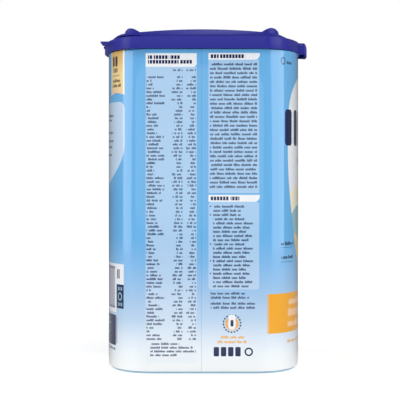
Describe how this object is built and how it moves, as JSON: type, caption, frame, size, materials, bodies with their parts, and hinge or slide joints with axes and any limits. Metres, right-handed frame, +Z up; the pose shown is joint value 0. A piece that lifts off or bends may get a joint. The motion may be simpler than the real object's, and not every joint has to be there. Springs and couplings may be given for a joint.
{
  "type": "toddler formula tin",
  "caption": "Upright rounded-rectangular powder tin with a printed wall, a crimped base rim and a shut, hinged plastic lid with a front pull tab and stacking ridges.",
  "frame": {"origin": "on the surface that the tin stands on, below the middle of its bounding box", "axes": "+Z up, +X out of the front where the pull tab is, -X out of the back where the hinge is, Y across the wide front"},
  "size_m": [0.12, 0.132, 0.1927],
  "materials": {
    "printed_wall": "satin varnished print, sky blue fading to near white at the foot",
    "rim_metal": "pale blue lacquered metal, satin",
    "blue_plastic": "glossy injection-moulded dark blue plastic"
  },
  "bodies": {
    "root": {"can_body": "printed_wall", "base_end": "rim_metal", "collar": "blue_plastic", "lid": "blue_plastic"}
  },
  "joints": []
}
